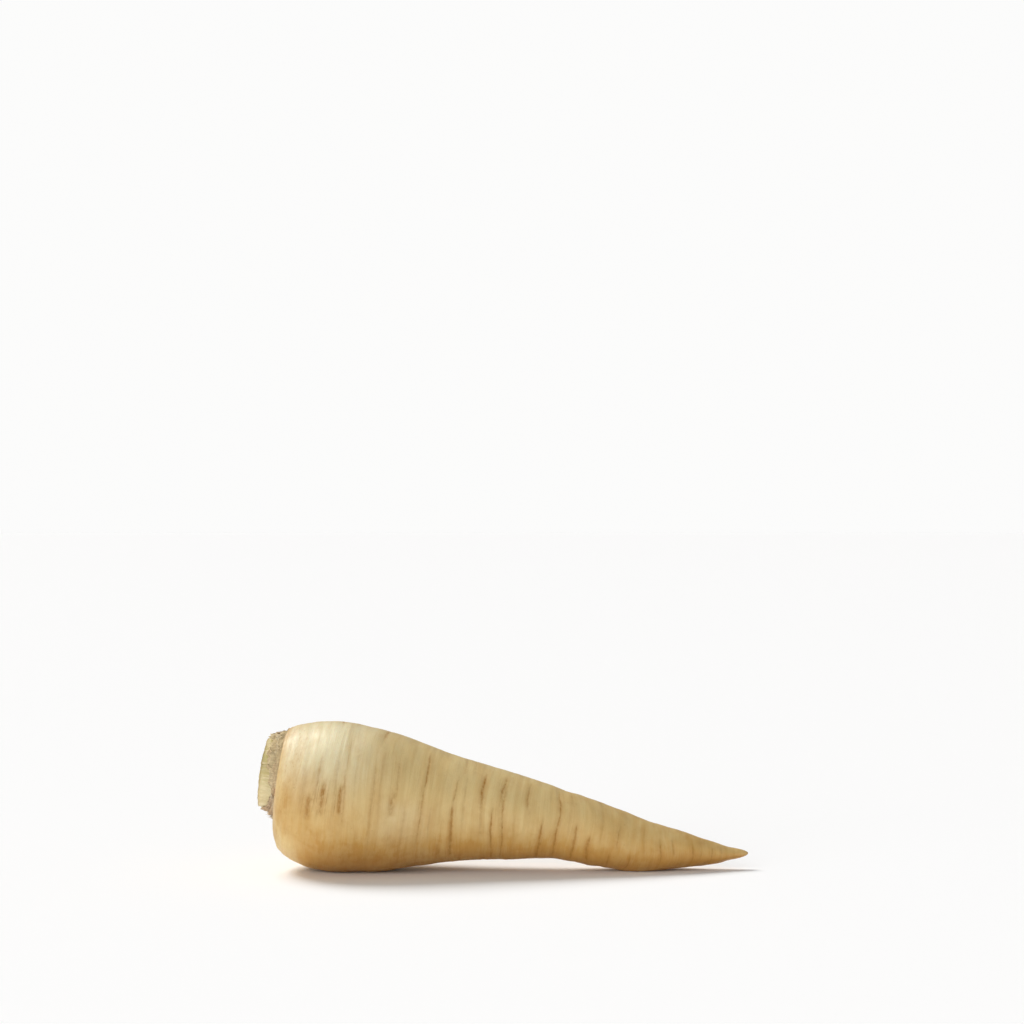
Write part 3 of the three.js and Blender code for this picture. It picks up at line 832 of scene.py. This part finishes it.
def stalk_shells(seed):
    """Every stalk as a closed shell (stalk, row, column). Rows go along its arc. A row is the stalk's
    section: up the ribbed outside, over a rounded edge, across the cut, over the inner edge and down the
    inside. The outside is the stub's radius less the rings and gaps outside it, with low waves for the
    ribs and a swelling above the foot. The cut is a low dome over the whole stub, dished a little in each
    stalk."""
    dice = np.random.default_rng(seed)
    rows, side, face = 84, 14, 16
    t = np.linspace(-1, 1, rows)[:, None]
    lift = np.concatenate([np.linspace(0, 0.95, side), np.ones(face), np.linspace(0.95, 0, side)])
    share = np.concatenate([np.zeros(side), np.linspace(0.015, 0.985, face), np.ones(side)])
    middle = 2 * share - 1
    end = np.clip((1 - t * t) * 5, 0, 1) ** 0.5
    shells, grown, cut = [], [], []
    for k, ring in enumerate(STALK_RINGS):
        count, facing = ring[2:]
        for i in range(count):
            phase = dice.uniform(0, 6.28, 5)
            seam = STALK_GAP / 2 / (STALK_RADIUS - RING_STEP * k)
            angle = np.radians(facing + 360 * i / count) + (np.pi / count - seam) * t
            further_out = sum(stalk_thickness(angle, other) + STALK_GAP for other in STALK_RINGS[:k])
            outside = STALK_RADIUS - further_out
            thick = stalk_thickness(angle, ring)
            pinch = np.sin(4 * t + phase[2]) * np.sin(11 * t + phase[3])
            thick = thick - 0.42 * np.clip(pinch - 0.25, 0, 1)
            ribs = 0.16 * np.cos(4.6 * t + phase[0]) + 0.1 * np.cos(10.5 * t + phase[1])
            ribs = ribs + 0.04 * np.cos(27 * t + phase[2])
            swell = 0.3 * np.sin(np.pi * lift**0.8) - 0.12
            out = outside - thick * share
            if k == 0:
                out = out + (ribs * lift + swell) * (1 - share) * end
            bevel = np.where((k == 0) & (middle < 0), OUTER_BEVEL, INNER_BEVEL)
            bevel = bevel * np.clip(np.abs(middle) - 0.85, 0, 1) / 0.15
            out = out - bevel * np.sign(-middle) * (lift > 0.9) * 0.7
            out = out + (0.5 - share) * thick * 0.55 * (end - 1)
            radius = np.clip(out / STALK_RADIUS, 0, 1)
            dome = 0.55 * (1 - radius**2)
            rough = 0.07 * np.sin(7 * t + 3 * middle + phase[3])
            rough = rough + 0.05 * np.sin(23 * t - 5 * middle + phase[4])
            rough = rough + 0.04 * np.sin(61 * t + 9 * middle + phase[0])
            dish = 0.22 * (1 - middle**2) * end
            tilt = dice.uniform(-0.12, 0.12) + 0.12 * np.sin(angle + phase[0])
            top = -STALK_HEIGHT + 0.25 - dome + dish + rough + bevel + tilt
            along = STALK_FOOT + (top - STALK_FOOT) * lift
            shells.append(place(along, out, angle))
            shape = shells[-1].shape[:2]
            on_cut = smooth(lift, 0.9, 1.0) * smooth(1 - np.abs(middle), 0.0, 0.1)
            lengthwise = outside * angle + STALK_SPACING * (3 * k + i)
            grown.append(spread(shape, lengthwise, thick * (share - 0.5), along))
            cut.append(spread(shape, on_cut, middle, radius))
    return np.stack(shells), np.stack(grown), np.stack(cut)


stalk_points, stalk_grown, stalk_cut = stalk_shells(seed=51)
stalk_grid = stalk_points.shape[1:3]
stalks = make_object(
    "leaf_stalk_bases",
    stalk_points,
    np.concatenate([wrapped_quads(*stalk_grid), fold_shut(*stalk_grid)]),
    shells=len(stalk_points),
    layers={"grown": stalk_grown, "cut": stalk_cut},
)

# The foot that the stalks grow from, and the heart of young leaves in their middle: two round plugs with
# soft edges.
plug_angle = all_round(PLUG_COLUMNS)


def plug_points(depth, top, radius, dome):
    """A plug's rows from its flat bottom, up its wall and over a domed, wrinkled top to the middle."""
    wall_rows = np.array([
        [depth, 0.0], [depth, 0.6], [depth, 1.0], [depth * 0.5 + top * 0.5, 1.0], [top + 0.5, 1.0],
    ])
    sweep = np.linspace(0, 1, 16)[:, None]
    bowed = np.concatenate([top + 0.5 - dome * np.sin(sweep * np.pi / 2), 1.0 - sweep**1.5], -1)
    section = np.concatenate([wall_rows, bowed[1:]])
    out = radius * section[:, 1:] * (1 + 0.03 * np.sin(9 * plug_angle) + 0.02 * np.sin(23 * plug_angle + 1))
    wrinkled = section[:, 1:] * (section[:, 1:] < 0.98)
    ups = section[:, :1] + 0.12 * np.sin(4 * out + 3 * plug_angle) * wrinkled
    points = place(ups, out, plug_angle)
    shape = points.shape[:2]
    on_cut = 0.7 * (section[:, :1] < top + 0.4)
    grown = spread(shape, out * np.cos(plug_angle), out * np.sin(plug_angle), ups)
    return points, grown, spread(shape, on_cut, 0, out / STALK_RADIUS)


foot = plug_points(depth=SOCKET_DEPTH - GAP, top=-STALK_HEIGHT + 0.85, radius=STALK_RADIUS - 1.4, dome=0.5)
heart = plug_points(depth=1.0, top=-STALK_HEIGHT + 0.3, radius=HEART_RADIUS, dome=0.9)
both_points, both_grown, both_cut = (np.stack(pair) for pair in zip(foot, heart))
plugs = make_object(
    "leaf_stalk_foot_and_heart",
    both_points,
    wrapped_quads(*both_points.shape[1:3]),
    shells=2,
    layers={"grown": both_grown, "cut": both_cut},
)
weld(plugs)

STALK_GREEN = (0.56, 0.49, 0.2, 1)
STALK_PALE = (0.8, 0.69, 0.42, 1)
CUT_FLESH = (0.6, 0.45, 0.2, 1)
CUT_GREEN = (0.52, 0.45, 0.17, 1)
DRIED_EDGE_AND_SHADE = (0.25, 0.14, 0.055, 1)
DRIED_BROWN = (0.42, 0.25, 0.09, 1)


def paint_stalks(tree, shader):
    """Ribbed outsides, pale on the ribs, greener in the hollows and to the top of the crown, and darkened at
    the foot by painted shade deep in the hollow. The cut is tan flesh that turns green to the outside, with
    brown vessels, a dried edge and knife marks."""
    where = add(tree, "ShaderNodeTexCoord").outputs["Object"]
    grown_at, arc_at, deep_at, height_at = layer(tree, "grown")
    _, on_cut, middle, radius = layer(tree, "cut")
    ribs = fibrous(tree, grown_at, (0.75, 0.75, 0.1), 0.38, 0.6)
    fine = fibrous(tree, grown_at, (5.0, 5.0, 0.4), 0.3, 0.7)
    patches = clouded(tree, 200.0, 0.4, 0.62)
    above_floor = add(tree, "ShaderNodeSeparateXYZ", {"Vector": where}).outputs["Z"]
    higher = ramp(tree, above_floor, 0.028, 0.042, 0.25, 1.0)
    side = blend_colours(tree, times(tree, ribs, higher), STALK_PALE, STALK_GREEN)
    side = blend_colours(tree, times(tree, patches, 0.35), side, CUT_FLESH)
    side = blend_colours(tree, times(tree, fine, 0.08), side, DRIED_EDGE_AND_SHADE)
    # Painted shade: the stalks' sides darken towards their foot, deep in the crown's hollow.
    side = blend_colours(tree, ramp(tree, height_at, -2.4, 0.2, 0.0, 0.8), side, DRIED_EDGE_AND_SHADE)

    greener = times(tree, ramp(tree, radius, 0.5, 1.0), times_plus(tree, patches, 0.5, 0.4))
    flesh = blend_colours(tree, greener, CUT_FLESH, CUT_GREEN)
    dry = clouded(tree, 420.0, 0.5, 0.72)
    moist = clouded(tree, 300.0, 0.42, 0.66)
    flesh = blend_colours(tree, times(tree, moist, 0.4), flesh, STALK_PALE)
    flesh = blend_colours(tree, times(tree, dry, 0.55), flesh, DRIED_BROWN)
    flat = add(tree, "ShaderNodeCombineXYZ", {"X": arc_at, "Y": deep_at}).outputs[0]
    cells = add(tree, "ShaderNodeTexVoronoi", {"Vector": flat, "Scale": 1.15, "Randomness": 0.7})
    vessel = ramp(tree, cells.outputs["Distance"], 0.1, 0.3, 1.0, 0.0)
    inside = ramp(tree, sums(tree, "ABSOLUTE", middle), 0.45, 0.8, 1.0, 0.0)
    flesh = blend_colours(tree, times(tree, times(tree, vessel, inside), 0.7), flesh, DRIED_EDGE_AND_SHADE)
    bordered = ramp(tree, sums(tree, "ABSOLUTE", middle), 0.4, 0.95)
    bordered = times(tree, bordered, times_plus(tree, patches, 0.45, 0.35))
    flesh = blend_colours(tree, bordered, flesh, DRIED_BROWN)
    rim = ramp(tree, sums(tree, "ABSOLUTE", middle), 0.84, 1.0)
    rim = times(tree, rim, times(tree, dry, 0.8))
    edge = times(tree, ramp(tree, radius, 0.9, 0.97, 0.0, 0.45), fine)
    flesh = blend_colours(tree, sums(tree, "MAXIMUM", rim, edge), flesh, DRIED_EDGE_AND_SHADE)
    knife = fibrous(tree, where, (60, 60, 2600), 0.3, 0.7)
    flesh = blend_colours(tree, times(tree, knife, 0.14), flesh, DRIED_EDGE_AND_SHADE)
    colour = blend_colours(tree, on_cut, side, flesh)
    tree.links.new(colour, shader.inputs["Base Color"])
    tree.links.new(times_plus(tree, patches, 0.2, 0.42), shader.inputs["Roughness"])
    height = times_plus(tree, fine, 0.4, ribs)
    height = times_plus(tree, times(tree, vessel, on_cut), -0.6, height)
    height = times_plus(tree, times(tree, knife, on_cut), 0.5, height)
    bump = add(tree, "ShaderNodeBump", {"Height": height, "Strength": 0.4, "Distance": 0.0003})
    tree.links.new(bump.outputs["Normal"], shader.inputs["Normal"])
    shader.inputs["Specular IOR Level"].default_value = 0.4


stalk_finish = finish_with("cut_leaf_stalk", paint_stalks)
for piece in (stalks, plugs):
    piece.data.materials.append(stalk_finish)
    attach(piece, "root")
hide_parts("leaf_stalks")


# ---------------------------------------------------------------- floor, light and camera
# A wide sheet of white paper that runs off to a white surround. A big soft light stands above, a little to
# the left and behind, and a low weaker one in front, under an even sky. A level camera looks from a little
# above the root.
FLOOR_SIDE = 30.0
FLOOR_DROP = 0.0002
corner = FLOOR_SIDE / 2
floor_mesh = bpy.data.meshes.new("floor")
floor_corners = [(-corner, -corner), (corner, -corner), (corner, corner), (-corner, corner)]
floor_mesh.from_pydata([(x, y, -FLOOR_DROP) for x, y in floor_corners], [], [(0, 1, 2, 3)])
floor = bpy.data.objects.new("floor", floor_mesh)
bpy.context.scene.collection.objects.link(floor)


def paint_floor(tree, shader):
    """Plain white paper."""
    shader.inputs["Base Color"].default_value = (0.968, 0.972, 0.985, 1)
    shader.inputs["Roughness"].default_value = 0.9
    shader.inputs["Specular IOR Level"].default_value = 0.1


floor_mesh.materials.append(finish_with("white_floor", paint_floor))

SKY_LIGHT = 0.26
SKY_COLOUR = (1, 0.995, 0.985, 1)
SURROUND_COLOUR = (0.972, 0.971, 0.966, 1)
LIGHT_COLOUR = (1, 0.99, 0.97)
SOFT_LIGHTS = [
    # name, strength, where it comes from, how wide it is in degrees
    ("overhead_softbox", 2.55, (-0.5, 0.42, 0.8), 32.0),
    ("front_reflector", 1.78, (-0.55, -0.82, 0.2), 55.0),
]

world = bpy.data.worlds.new("surround")
world.use_nodes = True
bpy.context.scene.world = world
sky = world.node_tree
sky.nodes.clear()
seen = add(sky, "ShaderNodeLightPath").outputs["Is Camera Ray"]
lit = add(sky, "ShaderNodeBackground", {"Color": SKY_COLOUR, "Strength": SKY_LIGHT}).outputs[0]
shown = add(sky, "ShaderNodeBackground", {"Color": SURROUND_COLOUR, "Strength": 1.0}).outputs[0]
either = add(sky, "ShaderNodeMixShader", {0: seen, 1: lit, 2: shown}).outputs[0]
add(sky, "ShaderNodeOutputWorld", {"Surface": either})

for name, strength, comes_from, width in SOFT_LIGHTS:
    lamp_data = bpy.data.lights.new(name, "SUN")
    lamp_data.energy = strength
    lamp_data.angle = np.radians(width)
    lamp_data.color = LIGHT_COLOUR
    lamp = bpy.data.objects.new(name, lamp_data)
    lamp.rotation_euler = Vector(comes_from).to_track_quat("Z", "Y").to_euler()
    bpy.context.scene.collection.objects.link(lamp)

CAMERA_PLACE = (0.0031, -0.919, 0.136)
camera_data = bpy.data.cameras.new("camera")
camera_data.sensor_width = 36.0
camera_data.lens = 85.0
camera = bpy.data.objects.new("camera", camera_data)
camera.location = CAMERA_PLACE
camera.rotation_euler = (np.pi / 2, 0, 0)
bpy.context.scene.collection.objects.link(camera)
bpy.context.scene.camera = camera
bpy.context.scene.view_settings.view_transform = "Standard"
